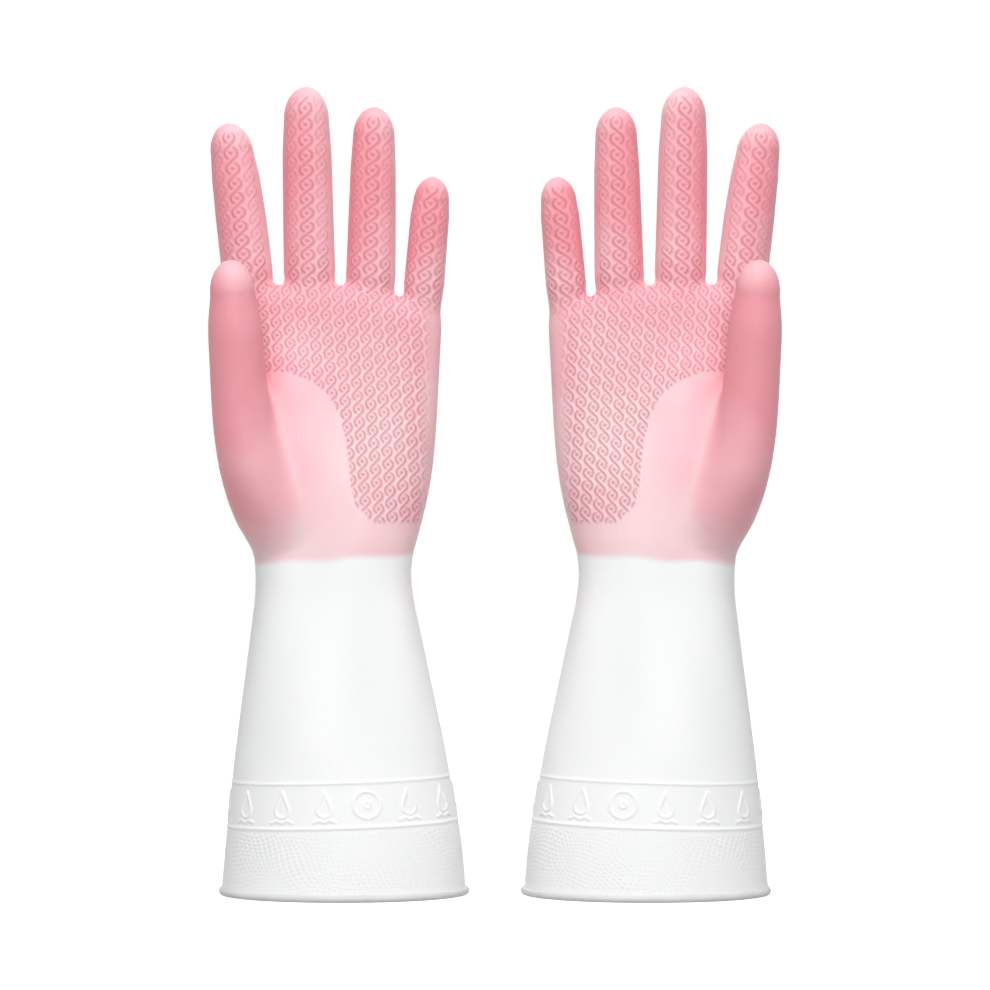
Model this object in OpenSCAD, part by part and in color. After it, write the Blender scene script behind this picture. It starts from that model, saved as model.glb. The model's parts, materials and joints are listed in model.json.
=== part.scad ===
// A pair of long rubber household gloves, standing on their cuffs with the fingers up.
// The palms face -Y and the thumbs are on the outer sides. Z = 0 is the plane on which
// both cuff beads rest, and X = 0 lies midway between the gloves. Units are millimetres.

/* [Pair] */
// Distance between the middles of the two cuffs
pair_w = 121; // [114:1:150]
// Thickness of the rubber
wall = 0.6; // [0.5:0.05:0.8]
// Clearance between a bending sleeve and the tube round it
gap = 0.35; // [0.3:0.05:0.4]

/* [Cuff] */
// Width of the cuff at the rim
rim_w = 97; // [94:0.5:100]
// Depth of the cuff at the rim
rim_d = 70; // [66:0.5:74]
// Height of the rolled bead at the rim
bead_h = 2.8; // [2:0.2:3.6]
// Width of the cuff at the wrist
wrist_w = 61.5; // [60:0.5:63]
// Depth of the cuff at the wrist
wrist_d = 45; // [43:0.5:46]
// Height of the wrist bend above the rim
wrist_z = 123; // [119:1:127]

/* [Hand] */
// Depth of the hand just above the wrist
heel_d = 41; // [38:0.5:43]
// Depth of the hand at the knuckles
knuckle_d = 26; // [24:0.5:28]
// Width of the hand at the knuckles
knuckle_w = 89.5; // [87:0.5:92]

/* [Fingers] */
// Length of the index finger from its knuckle bend to its tip
index_l = 59.5; // [56:0.5:64]
// Length of the middle finger from its knuckle bend to its tip
middle_l = 73; // [68:0.5:78]
// Length of the ring finger from its knuckle bend to its tip
ring_l = 67; // [62:0.5:72]
// Length of the little finger from its knuckle bend to its tip
little_l = 42.5; // [41:0.5:48]
// Length of the thumb from its base bend to its tip
thumb_l = 43.5; // [42:0.5:48]

/* [Hidden] */
$fn = 64;
SIDES = [["left", 1], ["right", -1]];

// Every finger: name, knuckle place (x, z above the wrist), lean outward, length, and the
// radius at the knuckle and at the end of each of its three parts
FINGERS = [
    ["index", -38, 123.5, -6.2, index_l, [10.2, 10.0, 9.7, 9.2]],
    ["middle", -13.4, 124, -1.3, middle_l, [10.6, 10.5, 10.2, 9.9]],
    ["ring", 10.9, 122, 1.4, ring_l, [10.0, 9.8, 9.6, 9.2]],
    ["little", 31.1, 119, 4.6, little_l, [8.9, 8.6, 8.3, 7.9]],
];
PARTS = ["base", "mid", "tip"];
part_share = [0.35, 0.29, 0.36]; // each part's share of the finger's length
bend_deg = [60, 70, 35];         // how far each part folds towards the palm
tip_stretch = 1.25;              // height of a tip's dome over its radius

// The thumb: pivot, forward and sideways lean, and radii as for the fingers
thumb_at = [-39.9, -26, wrist_z + 85];
thumb_lean = [11.5, -3];
thumb_r = [10.6, 10.1, 9.0];
thumb_share = [0.4, 0.6];
thumb_bend = [60, 35];
thumb_curl_turn = 75;            // the tip of the thumb curls sideways across the palm

collar_start = 0.52;             // where a part's tube starts past its pivot, over its radius
notch_spare = 5;                 // spare angle in the notch that a bending part folds into
centre_y = 3.3;                  // centres the pair's box from front to back

// Cuff sections run from the rim to the wrist
cuff_rows = 12;
rim_x = 0.8;
wrist_x = -3.8;
cuff_bulge = 0.9;
rim_power = 2.2;
wrist_power = 3;

// Hand sections: height above the wrist, middle, half width, half depth, squareness
heel_z = 15;
HAND = [
    [heel_z, wrist_x, 31.8, heel_d / 2, 2.8],
    [27, -3.5, 34.5, heel_d / 2 - 0.5, 2.6],
    [43, -3, 36.5, heel_d / 2 - 1.5, 2.5],
    [61, -2.6, 38.5, (heel_d + knuckle_d) / 4 + 1, 2.4],
    [81, -3, knuckle_w / 2 - 1.5, knuckle_d / 2 + 2.5, 2.4],
    [101, -3.3, knuckle_w / 2, knuckle_d / 2 + 1, 2.4],
    [112, -3.3, knuckle_w / 2, knuckle_d / 2, 2.3],
    [117, -3.3, knuckle_w / 2 - 2, knuckle_d / 2 - 4, 2.2],
    [119, -3.3, knuckle_w / 2 - 5, 4, 2],
];
// The ball of the thumb: sphere centres (height above the wrist) and radii
THENAR = [[-26, -8, 29, 13], [-32, -12, 47, 13], [-37, -18, 67, 12]];

function mix(a, b, t) = a + (b - a) * t;

// A rounded oval of half sizes a and b about x = c: power 2 is an ellipse, more is squarer
function oval(c, a, b, power, steps = 48) = [
    for (i = [0:steps - 1])
        let (t = 360 * i / steps, x = cos(t), y = sin(t), k = 2 / power)
        [c + a * sign(x) * pow(abs(x), k), b * sign(y) * pow(abs(y), k)]
];

// The cuff's oval at a share t of the way from the rim to the wrist, drawn in by inset
function cuff_oval(t, inset) = oval(
    mix(rim_x, wrist_x, t),
    mix(rim_w, wrist_w, t) / 2 + cuff_bulge * sin(180 * t) - inset,
    mix(rim_d, wrist_d, t) / 2 + cuff_bulge * sin(180 * t) - inset,
    mix(rim_power, wrist_power, t)
);

function at_height(points, z) = [for (p = points) [p[0], p[1], z]];

// Side faces between rings of n points, from ring a to ring b
function band_faces(a, b, n) = [
    for (i = [0:n - 1]) let (j = (i + 1) % n) each [
        [a * n + i, b * n + i, a * n + j],
        [a * n + j, b * n + i, b * n + j],
    ]
];

// A closed solid through a stack of rings; closed = true joins the last ring to the first
module loft(rings, closed = false) {
    n = len(rings[0]);
    m = len(rings);
    caps = closed ? [] : [[for (i = [0:n - 1]) i], [for (i = [n - 1:-1:0]) (m - 1) * n + i]];
    sides = [for (k = [0:closed ? m - 1 : m - 2]) each band_faces(k, (k + 1) % m, n)];
    polyhedron([for (r = rings) each r], concat(sides, caps), convexity = 6);
}

// The space that a part bending by deg towards -Y sweeps through a tube of radius r
module fold_notch(r, deg, turn = 0) {
    reach = 2 * r;
    past = 0.4;
    rotate(turn) rotate([90, 0, 90])
        linear_extrude(3 * r, center = true)
            polygon([[past, past], [-reach, 0.5 * r], [-reach, -reach * tan(deg)]]);
}

// The angle of notch that a fold of deg needs, since the part folding in starts above its pivot
function notch_deg(deg) = deg - atan(collar_start) + notch_spare;

// Half outline of a tube wall from radius r0 at z0 to radius r1 at z1
module wall_outline(r0, r1, z0, z1) {
    polygon([[r0, z0], [r1, z1], [r1 - wall, z1], [r0 - wall, z0]]);
}

// Half outline of a closed, rounded tip from radius r0 at z0, with its top at z1
module tip_outline(r0, r1, z0, z1) {
    steps = 9;
    spring = z1 - tip_stretch * r1;
    outer = [for (i = [0:steps - 1]) let (t = 90 * i / steps)
        [r1 * cos(t), spring + tip_stretch * r1 * sin(t)]];
    inner = [for (i = [steps - 1:-1:0]) let (t = 90 * i / steps)
        [(r1 - wall) * cos(t), spring + (tip_stretch * r1 - wall) * sin(t)]];
    polygon(concat([[r0, z0]], outer, [[0, z1], [0, z1 - wall]], inner, [[r0 - wall, z0]]));
}

// Half outline of the round sleeve that nests in the tube of radius r below the pivot
module sleeve_outline(r) {
    sleeve_r = r - wall - gap;
    start = collar_start * r;
    throat = sqrt(pow(sleeve_r - wall, 2) - start * start);
    intersection() {
        difference() {
            circle(sleeve_r);
            circle(sleeve_r - wall);
        }
        translate([0.5 * throat, -start]) square([r, 2 * start]);
    }
    translate([throat, start]) square([r - throat, wall]);
}

// One part of a finger with its pivot at the origin, growing towards +Z
module finger_part(r0, r1, part_l, next_bend, turn = 0, closed = false) {
    difference() {
        rotate_extrude() {
            if (closed) tip_outline(r0, r1, collar_start * r0, part_l);
            else wall_outline(r0, r1, collar_start * r0, part_l);
            sleeve_outline(r0);
        }
        if (!closed) translate([0, 0, part_l]) fold_notch(r1, notch_deg(next_bend), turn);
    }
}

module on_knuckle(f) {
    translate([f[1], 0, wrist_z + f[2]]) rotate([0, f[3], 0]) children();
}

module on_thumb() {
    translate(thumb_at) rotate([thumb_lean[0], thumb_lean[1], 0]) children();
}

// Part k of finger f, where 0 is the base, 1 the middle and 2 the tip
module finger(f, k) {
    lengths = f[4] * part_share;
    below = k == 0 ? 0 : k == 1 ? lengths[0] : lengths[0] + lengths[1];
    color("pink") on_knuckle(f) translate([0, 0, below])
        finger_part(f[5][k], f[5][k + 1], lengths[k], k < 2 ? bend_deg[k + 1] : 0, closed = k == 2);
}

module thumb_base() {
    color("pink") on_thumb()
        finger_part(thumb_r[0], thumb_r[1], thumb_share[0] * thumb_l, thumb_bend[1],
            turn = thumb_curl_turn);
}

module thumb_tip() {
    color("pink") on_thumb() translate([0, 0, thumb_share[0] * thumb_l])
        finger_part(thumb_r[1], thumb_r[2], thumb_share[1] * thumb_l, 0, closed = true);
}

// The cuff's wall, one closed ring of rubber from the bead to the wrist bend
module cuff() {
    function row(i, inset) = let (t = i / cuff_rows, z = mix(bead_h, wrist_z, t))
        at_height(cuff_oval(z / wrist_z, inset), z);
    outside = [for (i = [0:cuff_rows]) row(i, 0)];
    inside = [for (i = [cuff_rows:-1:0]) row(i, wall)];
    color("white") loft(concat(outside, inside), closed = true);
}

// The rolled edge that stiffens the opening, and on which the glove stands
module cuff_bead() {
    lip = bead_h / 2;
    color("gainsboro") linear_extrude(bead_h) difference() {
        polygon(cuff_oval(0, wall / 2 - lip));
        polygon(cuff_oval(0, wall / 2 + lip));
    }
}

// The barrel of rubber inside the wrist, turned about the bend, that the hand swings on
module wrist_barrel(inset) {
    half_l = wrist_w / 2 - wall - gap - inset;
    half_d = wrist_d / 2 - wall - gap - inset;
    steps = 8;
    bow = [for (i = [-steps:steps]) let (x = i / steps)
        [half_d * pow(1 - pow(abs(x), wrist_power), 1 / wrist_power), half_l * x]];
    translate([wrist_x, 0, wrist_z]) rotate([0, 90, 0]) rotate_extrude($fn = 48) polygon(bow);
}

// The hand's solid form, drawn in by inset, without fingers or thumb
module hand_form(inset) {
    first = inset > 0 ? [[heel_z + wall, HAND[0][1], HAND[0][2], HAND[0][3], HAND[0][4]]] : [HAND[0]];
    rows = concat(first, [for (i = [1:len(HAND) - 1]) HAND[i]]);
    last = len(rows) - 1;
    loft([for (i = [0:last]) let (r = rows[i])
        at_height(
            oval(r[1], r[2] - inset, r[3] - inset, r[4]),
            wrist_z + r[0] - (i == last ? inset : 0)
        )]);
    for (f = FINGERS) on_knuckle(f) hull() {
        translate([0, 0, inset > 0 ? 0 : -0.5]) cylinder(r = f[5][0] - inset, h = 0.5, $fn = 36);
        translate([0, 0, -14]) cylinder(r = f[5][0] - inset, h = 1, $fn = 36);
    }
    for (i = [0:len(THENAR) - 2]) hull() for (s = [THENAR[i], THENAR[i + 1]])
        translate([s[0], s[1], wrist_z + s[2]]) sphere(s[3] - inset, $fn = 28);
    tail = THENAR[len(THENAR) - 1];
    hull() {
        translate([tail[0], tail[1], wrist_z + tail[2]]) sphere(tail[3] - inset, $fn = 28);
        on_thumb() translate([0, 0, -9]) cylinder(r = thumb_r[0] - inset, h = 1, $fn = 36);
    }
    on_thumb() hull() {
        translate([0, 0, inset > 0 ? 0 : -0.5]) cylinder(r = thumb_r[0] - inset, h = 0.5, $fn = 36);
        translate([0, 0, -9]) cylinder(r = thumb_r[0] - inset, h = 1, $fn = 36);
    }
}

// The palm, the back of the hand and the ball of the thumb, with a collar for every finger
module palm() {
    color("pink") difference() {
        union() {
            difference() {
                hand_form(0);
                hand_form(wall);
            }
            intersection() {
                wrist_barrel(0);
                translate([-100, -100, wrist_z - heel_z]) cube([200, 200, 2 * heel_z + wall / 2]);
            }
        }
        intersection() {
            wrist_barrel(wall);
            translate([-100, -100, wrist_z - 50]) cube([200, 200, 50 + heel_z + wall]);
        }
        for (f = FINGERS) translate([f[1], 0, wrist_z + f[2]])
            fold_notch(f[5][0], notch_deg(bend_deg[0]));
        translate(thumb_at) fold_notch(thumb_r[0], notch_deg(thumb_bend[0]), -90);
    }
}

// Puts a left-hand piece in the left glove, or its mirror image in the right glove
module worn(side) {
    mirror([side > 0 ? 0 : 1, 0, 0]) translate([-pair_w / 2, centre_y, 0]) children();
}

for (s = SIDES) {
    worn(s[1]) cuff();
    worn(s[1]) cuff_bead();
    worn(s[1]) palm();
    worn(s[1]) thumb_base();
    worn(s[1]) thumb_tip();
    for (f = FINGERS, k = [0:2])
        worn(s[1]) finger(f, k);
}
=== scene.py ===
"""A pair of household rubber gloves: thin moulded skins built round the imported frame."""
import json
import math

import bpy
import numpy as np
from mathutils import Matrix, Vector


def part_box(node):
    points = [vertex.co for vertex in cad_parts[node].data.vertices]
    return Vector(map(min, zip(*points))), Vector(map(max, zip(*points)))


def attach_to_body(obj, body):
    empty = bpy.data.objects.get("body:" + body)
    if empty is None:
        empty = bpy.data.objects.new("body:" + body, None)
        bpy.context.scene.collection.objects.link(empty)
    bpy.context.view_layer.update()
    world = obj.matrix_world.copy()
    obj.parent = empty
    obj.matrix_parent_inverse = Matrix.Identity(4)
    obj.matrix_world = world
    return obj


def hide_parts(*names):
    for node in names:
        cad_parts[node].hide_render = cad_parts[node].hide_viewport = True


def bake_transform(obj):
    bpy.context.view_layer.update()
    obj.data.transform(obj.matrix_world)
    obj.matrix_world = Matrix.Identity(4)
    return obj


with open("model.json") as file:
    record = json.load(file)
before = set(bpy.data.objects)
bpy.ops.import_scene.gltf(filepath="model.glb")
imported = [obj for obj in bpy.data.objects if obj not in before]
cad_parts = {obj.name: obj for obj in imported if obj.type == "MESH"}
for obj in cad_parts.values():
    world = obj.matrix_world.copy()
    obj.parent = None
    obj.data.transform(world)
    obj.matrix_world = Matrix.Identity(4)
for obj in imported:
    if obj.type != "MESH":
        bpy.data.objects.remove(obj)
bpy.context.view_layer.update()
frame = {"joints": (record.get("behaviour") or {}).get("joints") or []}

# ---------------------------------------------------------------- measures (mm, from the frame)
MM = 1000.0
JOINTS = {j["name"]: np.array(j.get("pos_m", (0, 0, 0)), float) * MM for j in frame["joints"]}


def node_box(node):
    return [np.array(corner, float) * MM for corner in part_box(node)]


bead_lo, bead_hi = node_box("left_cuff_bead")
# A glove's own frame stands on the resting plane; the rim's middle is a little off it,
# towards the small finger
RIM_X = 0.8
ORIGIN = np.array([(bead_lo[0] + bead_hi[0]) / 2 - RIM_X, (bead_lo[1] + bead_hi[1]) / 2, 0.0])


def left_joint(name):
    return JOINTS["left_" + name] - ORIGIN


FINGER_NAMES = ["index", "middle", "ring", "little"]
# radii at the knuckle, at the two finger bends and where the round tip starts
FINGER_RADII = {
    "index": (10.1, 10.0, 9.4, 8.5),
    "middle": (10.2, 9.95, 9.7, 8.9),
    "ring": (9.8, 9.4, 8.95, 8.25),
    "little": (8.0, 7.8, 7.65, 7.1),
}
# how far a finger stands beside its bends' line, and how far it bows by its tip
FINGER_SHIFT = {"index": 0.2, "middle": 0.3, "ring": 0.3, "little": 1.3}
FINGER_BOW = {"index": -1.3, "middle": 0.2, "ring": -0.2, "little": 0.3}
TIP_STRETCH = 1.42
WRIST_Z = left_joint("wrist_bend")[2]
SKIN = 0.6  # thickness of the rubber


class Finger:
    """A finger's straight axis, its bends along it, and its radius."""

    def __init__(self, name):
        self.name = name
        self.root = left_joint(name + "_knuckle")
        bend, tip_bend = left_joint(name + "_bend"), left_joint(name + "_tip_bend")
        self.axis = (tip_bend - self.root) / np.linalg.norm(tip_bend - self.root)
        self.bend = float(np.linalg.norm(bend - self.root))
        self.tip_bend = float(np.linalg.norm(tip_bend - self.root))
        self.length = (node_box(f"left_{name}_tip")[1][2] - self.root[2]) / self.axis[2]
        radii = FINGER_RADII[name]
        self.end_r = radii[3]
        self.shift, self.bow = FINGER_SHIFT[name], FINGER_BOW[name]
        self.dome = TIP_STRETCH * self.end_r
        self.spring = self.length - self.dome
        # below the knuckle the tube narrows away inside the palm
        self.stops = (-34.0, -9.0, 0.0, self.bend, self.tip_bend, self.spring)
        self.radii = (2.0, radii[0] - 0.7, *radii)

    def coords(self, points):
        """Distance along the axis, and the two offsets from it."""
        rel = points - self.root
        along = rel @ self.axis
        side = rel - along[:, None] * self.axis
        side[:, 0] -= self.shift + self.bow * np.clip(along / self.length, 0, 1) ** 2
        return along, side

    def field(self, points):
        along, side = self.coords(points)
        rho = np.sqrt((side * side).sum(1))
        tube = rho - np.interp(along, self.stops, self.radii)
        tip = dome_field(rho, along - self.spring, self.end_r, self.dome)
        return np.where(along > self.spring, tip, tube)


def dome_field(rho, up, radius, height):
    """Distance to a half ellipsoid standing on a tube of the given radius."""
    k0 = np.sqrt((rho / radius) ** 2 + (up / height) ** 2)
    k1 = np.sqrt((rho / radius**2) ** 2 + (up / height**2) ** 2)
    return k0 * (k0 - 1) / np.maximum(k1, 1e-6)


def smooth_min(a, b, k):
    h = np.clip(0.5 + 0.5 * (b - a) / k, 0, 1)
    return b + (a - b) * h - k * h * (1 - h)


def smooth_max(a, b, k):
    return -smooth_min(-a, -b, k)


def smoothstep(x, lo, hi):
    t = np.clip((x - lo) / (hi - lo), 0, 1)
    return t * t * (3 - 2 * t)


def spline(rows):
    """A smooth curve through rows of (height, values...), as a dense table for np.interp."""
    rows = np.array(rows, float)
    z, values = rows[:, 0], rows[:, 1:]
    slope = np.gradient(values, z, axis=0)
    dense = np.arange(z[0], z[-1], 0.5)
    i = np.clip(np.searchsorted(z, dense, side="right") - 1, 0, len(z) - 2)
    w = z[i + 1] - z[i]
    t = ((dense - z[i]) / w)[:, None]
    w = w[:, None]
    out = (
        (2 * t**3 - 3 * t**2 + 1) * values[i]
        + (t**3 - 2 * t**2 + t) * w * slope[i]
        + (-2 * t**3 + 3 * t**2) * values[i + 1]
        + (t**3 - t**2) * w * slope[i + 1]
    )
    return dense, out


# Cuff, wrist and palm: height, thumb-side edge, little-side edge, half depth, squareness
BODY = spline([
    (-4, -48.2, 49.5, 34.9, 2.1),
    (0, -47.9, 49.1, 34.5, 2.1),
    (22, -46.0, 46.9, 32.6, 2.1),
    (50, -43.2, 42.1, 29.6, 2.15),
    (80, -39.6, 36.0, 26.4, 2.2),
    (105, -36.3, 30.8, 23.8, 2.3),
    (119, -34.7, 28.1, 22.6, 2.35),
    (128, -34.6, 27.5, 22.2, 2.4),
    (134, -35.1, 28.1, 22.0, 2.4),
    (141, -36.5, 29.8, 21.7, 2.4),
    (148, -38.8, 31.6, 21.1, 2.4),
    (156, -41.4, 33.5, 20.4, 2.4),
    (166, -43.2, 35.3, 19.4, 2.4),
    (180, -44.4, 36.8, 18.0, 2.4),
    (196, -45.6, 37.8, 16.2, 2.4),
    (212, -46.8, 38.6, 14.2, 2.4),
    (228, -47.6, 39.4, 12.2, 2.35),
    (240, -47.9, 39.9, 10.7, 2.3),
    (250, -48.0, 40.2, 10.0, 2.3),
])
PALM_TOP, PALM_DROP = 241.3, 0.27

# The thumb from its ball up: height along its axis, sideways and forward offset, radius
THUMB_ROOT = left_joint("thumb_spread")
THUMB_BEND = left_joint("thumb_curl")
THUMB_AXIS = (THUMB_BEND - THUMB_ROOT) / np.linalg.norm(THUMB_BEND - THUMB_ROOT)
THUMB_LENGTH = (node_box("left_thumb_tip")[1][2] - THUMB_ROOT[2] - 1.6) / THUMB_AXIS[2]
THUMB_END_R = 8.7
THUMB_DOME = 1.45 * THUMB_END_R
THUMB_SIDE = np.cross(np.array([0, -1.0, 0]), THUMB_AXIS)
THUMB_SIDE /= np.linalg.norm(THUMB_SIDE)
THUMB_FRONT = np.cross(THUMB_AXIS, THUMB_SIDE)
THUMB = spline([
    (-82, 15.0, -9.0, 6.0),
    (-70, 11.5, -4.5, 9.5),
    (-58, 8.0, -1.2, 12.0),
    (-43, 3.8, 0.8, 12.6),
    (-28, 1.2, 0.8, 11.9),
    (-13, 0.2, 0.3, 11.2),
    (0, 0.0, 0.0, 10.8),
    (18, 0.0, 0.0, 10.2),
    (THUMB_LENGTH - THUMB_DOME, 0.0, 0.0, THUMB_END_R),
    (THUMB_LENGTH, 0.0, 0.0, THUMB_END_R),
])
THENAR_AT = np.array([-18.0, -8.5, 173.0])
THENAR_R = np.array([25.0, 10.5, 38.0])
# heights from which the ball of the thumb, and then the fingers, are blended in
BALL_FROM, FINGERS_FROM = 108.0, 205.0
BALL_BLEND, FINGER_BLEND = 9.0, 3.0

FINGERS = [Finger(name) for name in FINGER_NAMES]


def body_field(p):
    """Distance to the cuff, wrist and palm, without thumb or fingers."""
    z = p[:, 2]
    left, right, half, power = (np.interp(z, BODY[0], BODY[1][:, i]) for i in range(4))
    a, c = (right - left) / 2, (right + left) / 2
    u, v = np.abs(p[:, 0] - c) / a + 1e-9, np.abs(p[:, 1]) / half + 1e-9
    total = u**power + v**power
    rho = total ** (1 / power)
    slope = np.sqrt((u ** (power - 1) / a) ** 2 + (v ** (power - 1) / half) ** 2)
    slope *= rho ** (1 - power)
    side = (rho - 1) / np.maximum(slope, 1e-6)
    top = z - (PALM_TOP - PALM_DROP * np.maximum(p[:, 0] - 6, 0))
    return np.where(z > 215, smooth_max(side, top, 9.0), side)


def thumb_coords(p):
    """Distance along the thumb's axis, and the sideways and forward offsets from it."""
    rel = p - THUMB_ROOT
    return rel @ THUMB_AXIS, rel @ THUMB_SIDE, rel @ THUMB_FRONT


def thumb_field(p):
    along, side, front = thumb_coords(p)
    x, y, r = (np.interp(along, THUMB[0], THUMB[1][:, i]) for i in range(3))
    rho = np.hypot(side + x, front - y)
    tube = rho - r
    spring = THUMB_LENGTH - THUMB_DOME
    tube = np.where(along > spring, dome_field(rho, along - spring, THUMB_END_R, THUMB_DOME), tube)
    foot = THUMB[0][0] + 6
    return np.where(along < foot, np.maximum(tube, foot - along), tube)


def ellipsoid_field(p, centre, radii):
    q = (p - centre) / radii
    k0 = np.sqrt((q * q).sum(1))
    k1 = np.sqrt(((q / radii) ** 2).sum(1))
    return k0 * (k0 - 1) / np.maximum(k1, 1e-6)


def glove_field(p):
    """Signed distance to the outside of the left glove, negative inside."""
    d = body_field(p)
    z = p[:, 2]
    up = z > BALL_FROM
    q = p[up]
    if len(q):
        e = d[up]
        # the blends start from nothing at the wrist, so that no seam shows
        grow = 0.02 + 0.98 * smoothstep(q[:, 2], 112, 148)
        e = smooth_min(e, ellipsoid_field(q, THENAR_AT, THENAR_R), BALL_BLEND * grow)
        web = 4.0 + 6.0 * smoothstep(-q[:, 2], -206, -176)
        e = smooth_min(e, thumb_field(q), web * grow)
        hollow = np.exp(-(((q[:, 0] - 8) / 15) ** 2) - ((q[:, 2] - 190) / 24) ** 2)
        e = e + 1.1 * hollow * smoothstep(-q[:, 1], 0, 10)
        tall = q[:, 2] > FINGERS_FROM
        f = e[tall]
        for finger in FINGERS:
            f = smooth_min(f, finger.field(q[tall]), FINGER_BLEND)
        e[tall] = f
        d[up] = e
    return d


# ---------------------------------------------------------------- meshing
def sampled_field(lo, hi, step, offset):
    """The glove's field on a grid, worked out exactly only near the surface."""
    coarse = 4
    cells = np.ceil((hi - lo) / (step * coarse)).astype(int)
    axes = [lo[i] + step * coarse * np.arange(cells[i] + 1) for i in range(3)]
    grid = np.stack(np.meshgrid(*axes, indexing="ij"), -1).reshape(-1, 3)
    rough = (glove_field(grid) + offset).reshape(cells + 1)
    near = np.abs(rough) < 0.96 * step * coarse
    touched = np.zeros(cells, bool)
    for corner in np.ndindex(2, 2, 2):
        s = tuple(slice(c, c + n) for c, n in zip(corner, cells))
        touched |= near[s]
    shape = cells * coarse + 1
    field = rough
    for axis in range(3):
        field = np.repeat(field, coarse, axis)
    field = field[: shape[0], : shape[1], : shape[2]].astype(np.float32)
    needed = np.zeros(shape, bool)
    at = np.argwhere(touched) * coarse
    for o in np.ndindex(coarse + 1, coarse + 1, coarse + 1):
        needed[at[:, 0] + o[0], at[:, 1] + o[1], at[:, 2] + o[2]] = True
    at = np.argwhere(needed)
    values = np.empty(len(at), np.float32)
    chunk = 400000
    for i in range(0, len(at), chunk):
        values[i : i + chunk] = glove_field(lo + step * at[i : i + chunk]) + offset
    field[needed] = values
    return field


def surface_nets(field, lo, step):
    """One vertex in each cell that the surface crosses, and one quad for each crossed grid edge."""
    inside = field < 0
    n = np.array(field.shape) - 1
    count = np.zeros(n, np.uint8)
    for o in np.ndindex(2, 2, 2):
        count += inside[o[0] : o[0] + n[0], o[1] : o[1] + n[1], o[2] : o[2] + n[2]]
    active = (count > 0) & (count < 8)
    cells = np.argwhere(active)
    index = np.full(n, -1, np.int32)
    index[active] = np.arange(len(cells))
    total, hits = np.zeros((len(cells), 3)), np.zeros(len(cells))
    for axis in range(3):
        for o in np.ndindex(2, 2):
            a = np.zeros(3, int)
            a[(axis + 1) % 3], a[(axis + 2) % 3] = o
            b = a.copy()
            b[axis] = 1
            fa, fb = (field[tuple((cells + c).T)].astype(float) for c in (a, b))
            crossed = (fa < 0) != (fb < 0)
            t = np.where(crossed, fa / np.where(crossed, fa - fb, 1), 0)
            point = a + t[:, None] * (b - a)
            total += point * crossed[:, None]
            hits += crossed
    points = lo + step * (cells + total / hits[:, None])
    quads = []
    for axis in range(3):
        p, q = (axis + 1) % 3, (axis + 2) % 3
        first = np.take(inside, np.arange(n[axis]), axis)
        second = np.take(inside, np.arange(1, n[axis] + 1), axis)
        at = np.argwhere(first != second)
        ok = (at[:, p] >= 1) & (at[:, q] >= 1) & (at[:, p] < n[p]) & (at[:, q] < n[q])
        at = at[ok]
        back_p, back_q = np.eye(3, dtype=int)[p], np.eye(3, dtype=int)[q]
        ring = [at - back_p - back_q, at - back_q, at, at - back_p]
        quad = np.stack([index[tuple(c.T)] for c in ring], 1)
        outward = inside[tuple(at.T)]
        quad[~outward] = quad[~outward][:, ::-1]
        quads.append(quad)
    return points, np.concatenate(quads)


def settle(points, offset, rounds=2):
    """Moves points onto the surface, and gives the outward direction at each."""
    e = 0.15
    normal = None
    for _ in range(rounds):
        value = glove_field(points) + offset
        grad = np.stack(
            [glove_field(points + e * k) - glove_field(points - e * k) for k in np.eye(3)], 1
        ) / (2 * e)
        size = np.sqrt((grad**2).sum(1))[:, None]
        normal = grad / np.maximum(size, 1e-6)
        points = points - normal * (np.clip(value, -0.5, 0.5)[:, None] / np.maximum(size, 0.5))
    return points, normal


# the sampling grid starts just above the resting plane, inside the rolled rim
GRID_LO = np.array([-62.0, -47.0, 1.4])
GRID_HI = np.array([54.0, 38.0, 323.0])
FINE = 0.5
COARSE = 1.5


def skin_mesh(step, offset):
    field = sampled_field(GRID_LO, GRID_HI, step, offset)
    points, quads = surface_nets(field, GRID_LO, step)
    points, normals = settle(points, offset)
    return points, normals, quads


# ---------------------------------------------------------------- grip pattern
PITCH, COLUMN, COLUMN_RISE, SLANT = 5.14, 4.97, 0.39, 0.076
PATTERN_AT = (12.05, 188.8)
EYE_R = 1.85
FINGER_COLUMN = 6.2
RIB_WIDTH, DOT_WIDTH = 0.42, 0.72
GRIP_RISE, BALL_RISE = 0.5, 0.22  # heights of the grip marks and of the smooth ball's step


def line(d, width):
    """1 on a mark's middle line, falling away softly at the given width."""
    return np.exp(-((d / width) ** 2))


def arc_distance(x, y, radius, start, end):
    """Distance to an arc of a circle about the origin, from angle start to end in degrees."""
    angle = np.degrees(np.arctan2(y, x))
    middle, half = (start + end) / 2, (end - start) / 2
    off = (angle - middle + 180) % 360 - 180
    on_arc = np.abs(np.hypot(x, y) - radius)
    ends = []
    for a in np.radians((start, end)):
        ends.append(np.hypot(x - radius * math.cos(a), y - radius * math.sin(a)))
    return np.where(np.abs(off) <= half, on_arc, np.minimum(*ends))


def segment_distance(x, y, a, b):
    """Distance to the straight stroke from a to b."""
    ax, ay = a
    bx, by = b[0] - a[0], b[1] - a[1]
    t = np.clip(((x - ax) * bx + (y - ay) * by) / (bx * bx + by * by), 0, 1)
    return np.hypot(x - ax - t * bx, y - ay - t * by)


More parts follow.
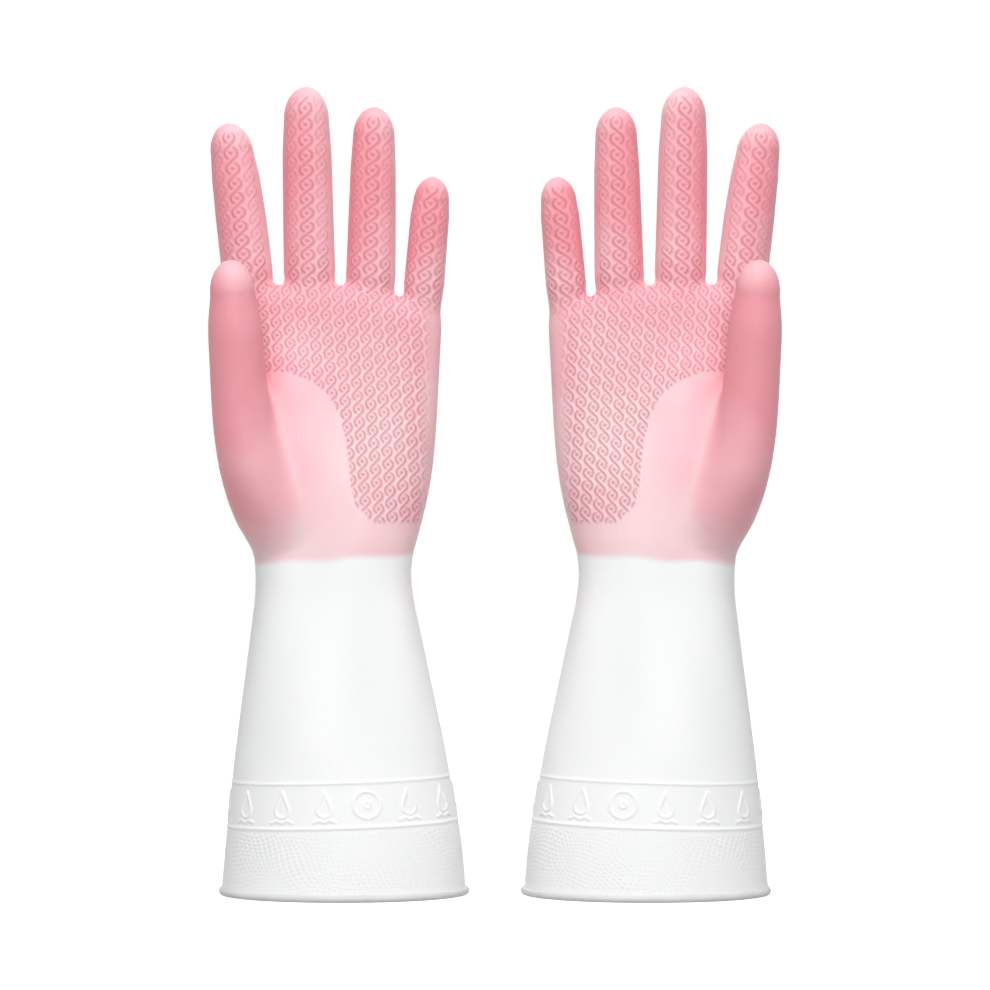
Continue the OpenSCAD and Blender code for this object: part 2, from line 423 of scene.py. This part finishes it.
def grip_marks(u, rows):
    """Distance to the curling ribs, and to the dots, for column and row coordinates."""
    column = np.round(u)
    w = rows - COLUMN_RISE * column
    x, y = (u - column) * COLUMN, (w - np.round(w)) * PITCH
    # the straight stroke is the line that touches one eye on its left and the next on its right
    turn = math.degrees(math.asin(2 * EYE_R / PITCH))
    out_x, out_y = -EYE_R * math.cos(math.radians(turn)), EYE_R * math.sin(math.radians(turn))
    rib = arc_distance(x, y, EYE_R, 180 - turn, 238)
    rib = np.minimum(rib, arc_distance(x, y, EYE_R, -turn, 58))
    upper = ((out_x, out_y), (-out_x, PITCH - out_y))
    lower = ((out_x, out_y - PITCH), (-out_x, -out_y))
    rib = np.minimum(rib, segment_distance(x, y, *upper))
    rib = np.minimum(rib, segment_distance(x, y, *lower))
    return rib, np.hypot(x, y)


def palm_lattice(p):
    x0, z0 = PATTERN_AT
    rows = (p[:, 2] - z0) / PITCH
    return (p[:, 0] - x0 + SLANT * (p[:, 2] - z0)) / COLUMN, rows


def thenar_edge(z):
    """The edge of the smooth ball of the thumb, as x for each height."""
    heights = [146, 150, 154, 162, 171, 180, 189, 197, 202.5, 205.5]
    edge = [12.5, 10.5, 6.0, 4.0, 3.2, 2.0, -0.5, -4.5, -11, -19]
    return np.interp(z, heights, edge)


def pattern(p, normal):
    """The relief of the grip, 0 to 1, and the step up onto the smooth ball of the thumb."""
    u, rows = palm_lattice(p)
    z = p[:, 2]
    facing = smoothstep(-normal[:, 1], 0.22, 0.5)
    smooth_ball = smoothstep(thenar_edge(z) - p[:, 0], -0.4, 0.4) * (z < 206.4)
    thumb_near = thumb_field(p)
    in_palm = facing * (1 - smooth_ball) * smoothstep(z, 146.5, 148.5)
    in_palm *= smoothstep(thumb_near, 1.2, 2.2)
    in_palm *= 1 - smoothstep(p[:, 0] - 0.02 * (z - 190), 29, 36.5)
    strength = in_palm
    tall = z > 226
    for finger in FINGERS:
        near = tall & (finger.field(p) < 0.8)
        q = p[near]
        along, side = finger.coords(q)
        across = np.arctan2(side[:, 0], -side[:, 1])
        radius = np.interp(along, finger.stops, finger.radii)
        centre, base_row = palm_lattice(finger.root[None, :] + [finger.shift, 0, 0])
        mid = np.round(centre[0])
        fu = mid + across * radius / FINGER_COLUMN
        stretch = 0.95 * along - 0.22 * along**3 / (3 * finger.length**2)
        frow = base_row[0] + stretch / PITCH
        s = smoothstep(along, -16, -1)
        u[near] = (1 - s) * u[near] + s * fu
        rows[near] = (1 - s) * rows[near] + s * frow
        keep = 1 - smoothstep(np.abs(fu - mid), 1.42, 1.6)
        keep *= 1 - 0.5 * smoothstep(np.abs(fu - mid), 0.45, 0.7) * smoothstep(along, 0, 14)
        keep *= 1 - smoothstep(along, finger.length - 5.5, finger.length - 3.5)
        keep *= facing[near] ** 0.5
        strength[near] = (1 - s) * strength[near] + s * keep
    rib, dot = grip_marks(u, rows)
    marks = np.maximum(line(rib, RIB_WIDTH), line(dot, DOT_WIDTH))
    ball = smooth_ball * facing * smoothstep(z, 132, 165) * smoothstep(thumb_near, 0.5, 3)
    return marks * strength, ball


# ---------------------------------------------------------------- cuff relief
BAND_LOW, BAND_HIGH, BAND_TILT = 28.6, 46.0, 0.03
MARK_STEP = 16.4
RING_AT = 10.6
RING_R, RING_EYE_R = 5.2, 1.2
DROP_R, DROP_TOP = 2.7, 5.6
BAND_RISE, PEBBLE_RISE = 0.5, 0.32
PEBBLE_STEP = 1.85
RELIEF_TOP = 60.0  # all the marks of the cuff lie below this height


def around_cuff(p):
    """Distance round the cuff from the middle of its palm side, towards the little finger."""
    left, right, half = (np.interp(p[:, 2], BODY[0], BODY[1][:, i]) for i in range(3))
    a, c = (right - left) / 2, (right + left) / 2
    angle = np.arctan2((p[:, 0] - c) / a, -p[:, 1] / half)
    turns = np.linspace(-math.pi, math.pi, 721)
    mid_a, mid_b = 44.0, 30.0
    speed = np.hypot(mid_a * np.cos(turns), mid_b * np.sin(turns))
    arc = np.concatenate([[0], np.cumsum((speed[1:] + speed[:-1]) / 2)]) * (turns[1] - turns[0])
    arc -= arc[360]
    return np.interp(angle, turns, arc)


def cuff_relief(p):
    """Height of the raised band lines, the drop marks, the ring and the pebbled lower edge."""
    s = around_cuff(p)
    z = p[:, 2] - BAND_TILT * p[:, 0]
    height = BAND_RISE * line(z - BAND_LOW, 0.5) + 0.42 * line(z - BAND_HIGH, 0.45)
    middle = (BAND_LOW + BAND_HIGH) / 2
    k = np.round((s - RING_AT) / MARK_STEP)
    x, y = s - RING_AT - k * MARK_STEP, z - middle
    out = np.hypot(x, y)
    ring = np.minimum(np.abs(out - RING_R), np.abs(out - RING_EYE_R))
    # a water drop: a circle below, running up to a point
    body = np.abs(np.hypot(x, y + 1.6) - DROP_R)
    body = np.where(y < -0.6, body, 99)
    flank = np.minimum(
        segment_distance(x, y, (-DROP_R * 0.93, -0.6), (0, DROP_TOP)),
        segment_distance(x, y, (DROP_R * 0.93, -0.6), (0, DROP_TOP)),
    )
    ripple = np.hypot(np.maximum(np.abs(x) - 4.2, 0), y + 5.9 + 0.35 * np.cos(x * 1.5))
    mark = np.where(k == 0, ring, np.minimum(np.minimum(body, flank), ripple))
    in_band = (z > BAND_LOW + 0.8) & (z < BAND_HIGH - 0.8)
    height = height + BAND_RISE * line(mark, 0.42) * in_band
    # pebbles in staggered rows
    cell = PEBBLE_STEP
    across = s + 1.3 * np.sin(z / 4.1 + s / 17) + 0.7 * np.sin(s / 3.9)
    up = z + 1.5 * np.sin(s / 8.5) + 0.7 * np.sin(s / 3.3 + z / 5)
    row = np.round(up / (0.87 * cell))
    px = (across / cell + 0.5 * (row % 2) + 0.5) % 1 - 0.5
    pz = up / (0.87 * cell) - row
    pebble = np.exp(-(((px / 0.27) ** 2) + ((pz / 0.29) ** 2)))
    patchy = 0.65 + 0.35 * np.sin(s / 13 + 1) * np.cos(z / 7)
    fade = smoothstep(z, 3.0, 5.0) * (1 - smoothstep(z, BAND_LOW - 2.6, BAND_LOW - 1.2))
    return height + PEBBLE_RISE * pebble * patchy * fade, pebble * patchy * fade


def soft_folds(p):
    """Shallow waves of slack rubber on the cuff and wrist."""
    s = around_cuff(p)
    z = p[:, 2]
    fade = smoothstep(z, 46, 60) * (1 - smoothstep(z, 128, 150))
    wave = np.sin(s / 9.5 + z / 33 + 0.6) + 0.6 * np.sin(s / 5.2 - z / 21)
    return 0.16 * wave * fade


# ---------------------------------------------------------------- the left skin, as arrays
def dip_share(p):
    """1 on the pink hand and 0 on the white cuff, with a soft edge that slopes across the wrist."""
    edge = 130.2 + 0.061 * (p[:, 0] + 37.5) + 0.4 * np.sin(p[:, 0] / 4.1)
    return smoothstep(p[:, 2] - edge, -1.2, 2.4)


FINGER_TONE = {"index": 0.02, "middle": 0.04, "ring": 0.17, "little": 0.24}


def depth_and_shade_share(p):
    """How deep the pink is: pale at the heel and the tips, deepest along the fingers; the deeper
    pink on each finger's thumb-side flank and on the thumb's outer side is painted shade.
    """
    z = p[:, 2]
    tone = 0.24 - 0.12 * smoothstep(z, 150, 170)
    tone = tone + 0.24 * smoothstep(z, 180, 215) + 0.22 * smoothstep(z, 210, 240)
    tone = tone + 0.16 * smoothstep(p[:, 1], -4, 10) * (1 - smoothstep(z, 205, 235))
    below_fingers = 1 - smoothstep(z, 205, 235)
    tone = tone + 0.2 * smoothstep(p[:, 0], 20, 36) * smoothstep(z, 140, 160) * below_fingers
    for finger in FINGERS:
        near = (z > 225) & (finger.field(p) < 0.8)
        along, side = finger.coords(p[near])
        t = np.clip(along / finger.length, -0.3, 1)
        along_tone_and_shade = 0.56 + 0.28 * smoothstep(t, 0.0, 0.5) - 0.4 * smoothstep(t, 0.74, 1.0)
        # painted shade: the side term deepens the pink on each finger's thumb-side flank
        along_tone_and_shade += FINGER_TONE[finger.name] * smoothstep(t, -0.15, 0.55) - 0.028 * side[:, 0]
        s = smoothstep(along, -14, 12)
        tone[near] = (1 - s) * tone[near] + s * along_tone_and_shade
    along, thumb_side, _ = thumb_coords(p)
    to_thumb = thumb_field(p)
    ball = np.minimum(to_thumb, ellipsoid_field(p, THENAR_AT, THENAR_R))
    on_ball = (1 - smoothstep(ball, 0.5, 6)) * smoothstep(z, 120, 158)
    ball_tone_and_shade = 0.8 + 0.26 * smoothstep(along, -35, 5) * (1 - smoothstep(to_thumb, 0.4, 3.0))
    ball_tone_and_shade -= 0.45 * smoothstep(along, THUMB_LENGTH - 18, THUMB_LENGTH)
    # painted shade: deeper pink towards the outer side of the thumb and its ball, paler towards the
    # palm
    ball_tone_and_shade += 0.012 * thumb_side
    return (1 - on_ball) * tone + on_ball * ball_tone_and_shade


class Skin:
    """The arrays of the left glove's outside and inside."""

    def __init__(self):
        p, n, quads = skin_mesh(FINE, 0.0)
        marks, ball = pattern(p, n)
        relief, pebble = cuff_relief(p)
        low = p[:, 2] < RELIEF_TOP
        rise = GRIP_RISE * marks + BALL_RISE * ball + np.where(low, relief, 0) + soft_folds(p)
        self.rest = p
        self.points = p + n * rise[:, None]
        self.quads = quads
        self.masks = {
            "rib": marks,
            "dip": dip_share(p),
            "depth": depth_and_shade_share(p),
            "pebble": np.where(low, pebble, 0),
        }
        self.normals = vertex_normals(self.points, quads)


def vertex_normals(points, quads):
    a, b, c, d = (points[quads[:, i]] for i in range(4))
    face = np.cross(c - a, d - b)
    normal = np.zeros_like(points)
    for i in range(4):
        for k in range(3):
            normal[:, k] += np.bincount(quads[:, i], face[:, k], len(points))
    return normal / np.maximum(np.linalg.norm(normal, axis=1), 1e-9)[:, None]


class Lining:
    """The inside of the rubber, on a coarser grid, facing inwards."""

    def __init__(self):
        p, _, quads = skin_mesh(COARSE, SKIN)
        self.rest = p
        self.points = p
        self.quads = quads[:, ::-1]
        self.masks = {
            "rib": np.zeros(len(p)),
            "dip": dip_share(p),
            "depth": depth_and_shade_share(p),
            "pebble": np.zeros(len(p)),
        }
        self.normals = vertex_normals(self.points, self.quads)


# ---------------------------------------------------------------- pieces and the joints they cross
WRIST_HALF = 12.0
CUFF_TOP = WRIST_Z - WRIST_HALF - 3
HAND_FOOT = WRIST_Z + WRIST_HALF + 2
# How far under each finger's knuckle its web lies
FINGER_START = {"index": -4.4, "middle": -4.8, "ring": -2.8, "little": -3.4}
THUMB_START = -5.0


def piece_of(p):
    """Which piece each point belongs to, by number, and the list of piece names."""
    names = ["cuff", "wrist", "hand"]
    owner = np.where(p[:, 2] < CUFF_TOP, 0, np.where(p[:, 2] < HAND_FOOT, 1, 2))
    for finger in FINGERS:
        along, _ = finger.coords(p)
        near = (p[:, 2] > 230) & (finger.field(p) < 1.4) & (along > FINGER_START[finger.name])
        cuts = finger_cuts(finger)
        part = len(names) + np.digitize(along, cuts[:2])
        owner = np.where(near, part, owner)
        names += [f"{finger.name}_{part}" for part in ("base", "mid", "tip")]
    along, _, _ = thumb_coords(p)
    near = (p[:, 2] > 190) & (thumb_field(p) < 1.4) & (along > THUMB_START)
    near &= p[:, 1] < -13
    part = len(names) + (along > THUMB_CUT)
    owner = np.where(near, part, owner)
    names += ["thumb_base", "thumb_tip"]
    return owner, names


def finger_cuts(finger):
    """Where a finger's three pieces meet, and half the length of each bend."""
    first = 0.53 * finger.bend
    second = finger.bend + 0.58 * (finger.tip_bend - finger.bend)
    half_bend = min(finger.bend - first, second - finger.bend, 10.5)
    half_tip = min(finger.tip_bend - second, 6.5)
    return first, second, half_bend, half_tip


THUMB_CUT = 11.8

SIDES = {"left": 1, "right": -1}


def to_row(points, side):
    out = (points + ORIGIN) / MM
    out[:, 0] *= side
    return out


def make_mesh(name, points, quads, normals, masks):
    """A smooth mesh with its own normals, so that neighbouring pieces shade as one skin."""
    mesh = bpy.data.meshes.new(name)
    mesh.vertices.add(len(points))
    mesh.vertices.foreach_set("co", points.astype(np.float32).ravel())
    mesh.loops.add(quads.size)
    mesh.loops.foreach_set("vertex_index", quads.astype(np.int32).ravel())
    mesh.polygons.add(len(quads))
    mesh.polygons.foreach_set("loop_start", np.arange(0, quads.size, 4, dtype=np.int32))
    mesh.update(calc_edges=True)
    mesh.polygons.foreach_set("use_smooth", np.ones(len(quads), bool))
    mesh.validate()
    for key, values in masks.items():
        attribute = mesh.attributes.new(key, "FLOAT", "POINT")
        attribute.data.foreach_set("value", values.astype(np.float32))
    mesh.normals_split_custom_set_from_vertices(normals.tolist())
    obj = bpy.data.objects.new(name, mesh)
    bpy.context.scene.collection.objects.link(obj)
    return obj


def cut_pieces(layers, side_name):
    """The pieces of one glove, from the outside skin and the lining together."""
    side = SIDES[side_name]
    out = {}
    split = []
    for layer in layers:
        centre = layer.rest[layer.quads].mean(1)
        owner, names = piece_of(centre)
        split.append(owner)
    for i, name in enumerate(names):
        points, quads, normals = [], [], []
        masks = {key: [] for key in layers[0].masks}
        start = 0
        for layer, owner in zip(layers, split):
            chosen = layer.quads[owner == i]
            used = np.unique(chosen)
            remap = np.full(len(layer.points), -1, np.int64)
            remap[used] = np.arange(len(used)) + start
            points.append(layer.points[used])
            normals.append(layer.normals[used])
            quads.append(remap[chosen])
            for key in masks:
                masks[key].append(layer.masks[key][used])
            start += len(used)
        points, quads, normals = map(np.concatenate, (points, quads, normals))
        masks = {key: np.concatenate(value) for key, value in masks.items()}
        if side < 0:
            quads = quads[:, ::-1]
            normals = normals * [-1, 1, 1]
        skin_name = f"{side_name}_{name}_skin"
        out[name] = make_mesh(skin_name, to_row(points, side), quads, normals, masks)
    return out


# ---------------------------------------------------------------- materials
def linear(r, g, b):
    shares = (r / 255, g / 255, b / 255)
    return tuple(c / 12.92 if c <= 0.04045 else ((c + 0.055) / 1.055) ** 2.4 for c in shares)


class Nodes:
    """A small helper that adds nodes to a material and links them by socket."""

    def __init__(self, name):
        self.material = bpy.data.materials.new(name)
        self.material.use_nodes = True
        self.tree = self.material.node_tree
        self.shader = self.tree.nodes["Principled BSDF"]

    def add(self, kind, **inputs):
        node = self.tree.nodes.new(kind)
        for key, value in inputs.items():
            self.set(node.inputs[key.replace("_", " ")], value)
        return node

    def set(self, socket, value):
        if isinstance(value, bpy.types.NodeSocket):
            self.tree.links.new(value, socket)
        else:
            socket.default_value = value

    def mask(self, name):
        node = self.tree.nodes.new("ShaderNodeAttribute")
        node.attribute_name = name
        return node.outputs["Fac"]

    def math(self, operation, a, b):
        node = self.tree.nodes.new("ShaderNodeMath")
        node.operation = operation
        self.set(node.inputs[0], a)
        self.set(node.inputs[1], b)
        return node.outputs[0]

    def mix(self, factor, a, b):
        node = self.tree.nodes.new("ShaderNodeMix")
        node.data_type = "RGBA"
        self.set(node.inputs["Factor"], factor)
        self.set(node.inputs["A"], a)
        self.set(node.inputs["B"], b)
        return node.outputs["Result"]

    def noise(self, scale, detail=2.0):
        coords = self.tree.nodes.new("ShaderNodeTexCoord")
        node = self.tree.nodes.new("ShaderNodeTexNoise")
        self.set(node.inputs["Vector"], coords.outputs["Object"])
        node.inputs["Scale"].default_value = scale
        node.inputs["Detail"].default_value = detail
        return node.outputs["Fac"]

    def bump(self, height, distance, strength=1.0, normal=None):
        node = self.tree.nodes.new("ShaderNodeBump")
        node.inputs["Strength"].default_value = strength
        node.inputs["Distance"].default_value = distance
        self.set(node.inputs["Height"], height)
        if normal is not None:
            self.set(node.inputs["Normal"], normal)
        return node.outputs["Normal"]


PALE_PINK = (*linear(248, 217, 217), 1)
MID_PINK = (*linear(246, 190, 197), 1)
DEEP_PINK = (*linear(241, 150, 160), 1)
RIB_PINK = (*linear(196, 112, 126), 1)
WHITE_RUBBER = (*linear(249, 246, 245), 1)
# painted shade: the grey of the rolled rim stands in for the shade that falls on it
RIM_SHADE_GREY = (*linear(196, 195, 196), 1)


def skin_material():
    """Soft dipped rubber: white cuff, pink hand, deeper where the dip is thicker or embossed, with
    painted shade deepening the pink on the thumb-side flanks of the fingers and on the thumb's
    outer side.
    """
    n = Nodes("dipped_rubber")
    blotch = n.noise(42.0, 2.0)
    grain = n.noise(900.0, 3.0)
    depth = n.math("ADD", n.mask("depth"), n.math("MULTIPLY", n.math("SUBTRACT", blotch, 0.5), 0.5))
    low = n.add("ShaderNodeMapRange")
    n.set(low.inputs["Value"], depth)
    low.inputs["From Min"].default_value = 0.0
    low.inputs["From Max"].default_value = 0.45
    high = n.add("ShaderNodeMapRange")
    n.set(high.inputs["Value"], depth)
    high.inputs["From Min"].default_value = 0.4
    high.inputs["From Max"].default_value = 1.0
    pink = n.mix(low.outputs[0], PALE_PINK, MID_PINK)
    pink = n.mix(high.outputs[0], pink, DEEP_PINK)
    pink = n.mix(n.math("MULTIPLY", n.mask("rib"), 0.85), pink, RIB_PINK)
    white = n.mix(n.math("MULTIPLY", grain, 0.12), WHITE_RUBBER, (0.72, 0.73, 0.75, 1))
    white = n.mix(n.math("MULTIPLY", n.mask("pebble"), 0.32), white, (0.6, 0.6, 0.62, 1))
    colour = n.mix(n.mask("dip"), white, pink)
    n.set(n.shader.inputs["Base Color"], colour)
    rough = n.add("ShaderNodeMapRange")
    n.set(rough.inputs["Value"], grain)
    rough.inputs["To Min"].default_value = 0.42
    rough.inputs["To Max"].default_value = 0.58
    n.set(n.shader.inputs["Roughness"], rough.outputs[0])
    n.set(n.shader.inputs["Normal"], n.bump(grain, 0.00012, 0.5))
    n.shader.inputs["Subsurface Weight"].default_value = 0.25
    n.shader.inputs["Subsurface Radius"].default_value = (0.004, 0.0022, 0.002)
    n.shader.inputs["Subsurface Scale"].default_value = 1.0
    n.shader.inputs["Specular IOR Level"].default_value = 0.35
    return n.material


def bead_material():
    """The rolled rim: the same rubber, thicker, coloured grey as painted shade on the rim, with
    fine lengthwise rubbing.
    """
    n = Nodes("rolled_rim_rubber")
    grain = n.noise(700.0, 3.0)
    cloud = n.noise(60.0, 2.0)
    # the painted shade of the rim, mottled between two greys
    n.set(n.shader.inputs["Base Color"], n.mix(cloud, RIM_SHADE_GREY, (*linear(220, 219, 220), 1)))
    rough = n.add("ShaderNodeMapRange")
    n.set(rough.inputs["Value"], grain)
    rough.inputs["To Min"].default_value = 0.45
    rough.inputs["To Max"].default_value = 0.62
    n.set(n.shader.inputs["Roughness"], rough.outputs[0])
    n.set(n.shader.inputs["Normal"], n.bump(grain, 0.0001, 0.5))
    return n.material


# ---------------------------------------------------------------- the rolled rim
BEAD_H = bead_hi[2] - bead_lo[2]
BEAD_R = BEAD_H / 2


def bead_ring(side_name, material):
    """A rolled bead of slightly uneven thickness, swept round the rim."""
    side = SIDES[side_name]
    steps, around = 420, 20
    turn = np.linspace(0, 2 * math.pi, steps, endpoint=False)
    left, right, half, power = (float(np.interp(BEAD_R, BODY[0], BODY[1][:, i])) for i in range(4))
    a, c = (right - left) / 2, (right + left) / 2
    k = 2 / power
    cos, sin = np.cos(turn), np.sin(turn)
    x = c + a * np.sign(cos) * np.abs(cos) ** k
    y = half * np.sign(sin) * np.abs(sin) ** k
    centre = np.stack([x, y, np.full(steps, BEAD_R)], 1)
    ahead = np.roll(centre, -1, 0) - np.roll(centre, 1, 0)
    out = np.stack([ahead[:, 1], -ahead[:, 0], np.zeros(steps)], 1)
    out /= np.linalg.norm(out, axis=1)[:, None]
    uneven = 1 + 0.06 * np.sin(5 * turn + 1) + 0.04 * np.sin(11 * turn)
    roll = np.linspace(0, 2 * math.pi, around, endpoint=False)
    radial = (BEAD_R * 0.92 * uneven)[:, None] * np.cos(roll)[None, :]
    lift = BEAD_R * np.sin(roll)
    lift = np.where(lift < 0, lift, lift * 1.05)  # the upper side is a little fuller
    points = centre[:, None, :] + radial[:, :, None] * out[:, None, :]
    points[:, :, 2] += lift[None, :]
    points = points.reshape(-1, 3)
    i, j = np.meshgrid(np.arange(steps), np.arange(around), indexing="ij")
    i2, j2 = (i + 1) % steps, (j + 1) % around
    corners = [i * around + j, i2 * around + j, i2 * around + j2, i * around + j2]
    quads = np.stack(corners, -1).reshape(-1, 4)
    normals = vertex_normals(points, quads)
    if ((normals.reshape(steps, around, 3)[:, 0] * out).sum(1)).mean() < 0:
        quads = quads[:, ::-1]
        normals = -normals
    if side < 0:
        quads = quads[:, ::-1]
        normals = normals * [-1, 1, 1]
    obj = make_mesh(f"{side_name}_rim_bead", to_row(points, side), quads, normals, {})
    obj.data.materials.append(material)
    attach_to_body(obj, f"{side_name}_cuff")
    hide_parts(f"{side_name}_cuff_bead")


def blend(obj):
    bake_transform(obj)


def attach(side_name, pieces, material):
    for name, obj in pieces.items():
        obj.data.materials.append(material)
    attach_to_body(pieces["cuff"], f"{side_name}_cuff")
    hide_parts(f"{side_name}_cuff")
    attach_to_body(pieces["hand"], f"{side_name}_palm")
    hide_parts(f"{side_name}_palm")
    blend(pieces["wrist"])
    for finger in FINGERS:
        first, second, half_bend, half_tip = finger_cuts(finger)
        chain = ["palm"] + [f"{finger.name}_{part}" for part in ("base", "mid", "tip")]
        start = FINGER_START[finger.name]
        spans = [
            (start, min(12.0, first)),
            (finger.bend - half_bend, finger.bend + half_bend),
            (finger.tip_bend - half_tip, finger.tip_bend + half_tip),
        ]
        for k, (lo, hi) in enumerate(spans):
            obj = pieces[chain[k + 1]]
            blend(
                obj,
            )
            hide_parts(f"{side_name}_{chain[k + 1]}")
    spans = [("palm", "thumb_base", THUMB_START, 11.5), ("thumb_base", "thumb_tip", 12.4, 22.4)]
    for a, b, lo, hi in spans:
        blend(
            pieces[b],
        )
        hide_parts(f"{side_name}_{b}")


layers = [Skin(), Lining()]
rubber = skin_material()
rim = bead_material()
for side_name in SIDES:
    attach(side_name, cut_pieces(layers, side_name), rubber)
    bead_ring(side_name, rim)


# ---------------------------------------------------------------- stage, lights and camera
def plain_material(name, colour, glow):
    n = Nodes(name)
    dust = n.noise(3.0, 1.0)
    dusty = tuple(c * 0.985 for c in colour)
    n.set(n.shader.inputs["Base Color"], n.mix(dust, (*colour, 1), (*dusty, 1)))
    n.shader.inputs["Roughness"].default_value = 0.9
    n.shader.inputs["Emission Color"].default_value = (1, 1, 1, 1)
    n.shader.inputs["Emission Strength"].default_value = glow
    return n.material


def sweep():
    """A round floor that curves up into a wall all the way round, as one sheet."""
    wall, bend, rise, steps = 4.2, 1.2, 4.5, 96
    profile = [(0.6, 0.0), (wall - bend, 0.0)]
    profile += [
        (wall - bend + bend * math.sin(a), bend - bend * math.cos(a))
        for a in np.linspace(0.1, math.pi / 2, 14)
    ]
    profile.append((wall, rise))
    verts = [(0, 0, 0)] + [
        (r * math.cos(t), r * math.sin(t), z)
        for r, z in profile
        for t in np.linspace(0, 2 * math.pi, steps, endpoint=False)
    ]
    faces = [(0, 1 + i, 1 + (i + 1) % steps) for i in range(steps)]
    for k in range(len(profile) - 1):
        low, high = 1 + k * steps, 1 + (k + 1) * steps
        for i in range(steps):
            j = (i + 1) % steps
            faces.append((low + i, high + i, high + j, low + j))
    mesh = bpy.data.meshes.new("sweep")
    mesh.from_pydata(verts, [], faces)
    mesh.polygons.foreach_set("use_smooth", [True] * len(faces))
    obj = bpy.data.objects.new("sweep", mesh)
    bpy.context.scene.collection.objects.link(obj)
    obj.data.materials.append(plain_material("pale_floor", (0.92, 0.92, 0.92), 0.62))
    obj.visible_diffuse = False


def area_light(name, at, aim, size, power):
    light = bpy.data.lights.new(name, "AREA")
    light.shape = "RECTANGLE"
    light.size, light.size_y = size
    light.energy = power
    obj = bpy.data.objects.new(name, light)
    obj.location = at
    obj.rotation_euler = (Vector(aim) - Vector(at)).to_track_quat("-Z", "Y").to_euler()
    obj.visible_camera = False
    bpy.context.scene.collection.objects.link(obj)


sweep()
AIM = (0, 0, 0.15)  # the middle of the gloves, for every light
area_light("key_above", (0, -0.75, 1.35), AIM, (1.3, 0.9), 15.5)
area_light("fill_front", (0, -1.9, 0.45), AIM, (1.2, 1.2), 15.5)
area_light("fill_back", (0, 1.7, 1.0), AIM, (1.4, 1.0), 8.0)

world = bpy.data.worlds.new("studio")
world.use_nodes = True
world.node_tree.nodes["Background"].inputs["Color"].default_value = (1, 1, 1, 1)
world.node_tree.nodes["Background"].inputs["Strength"].default_value = 0.38
bpy.context.scene.world = world
bpy.context.scene.view_settings.view_transform = "Standard"

LENS, SENSOR, VIEW_WIDTH, VIEW_HEIGHT = 135.0, 36.0, 0.3928, 0.1581
camera = bpy.data.cameras.new("camera")
camera.lens, camera.sensor_width = LENS, SENSOR
camera_object = bpy.data.objects.new("camera", camera)
middle_y = ORIGIN[1] / MM
camera_object.location = (0, middle_y - VIEW_WIDTH * LENS / SENSOR, VIEW_HEIGHT)
camera_object.rotation_euler = (math.pi / 2, 0, 0)
bpy.context.scene.collection.objects.link(camera_object)
bpy.context.scene.camera = camera_object

bpy.context.view_layer.update()
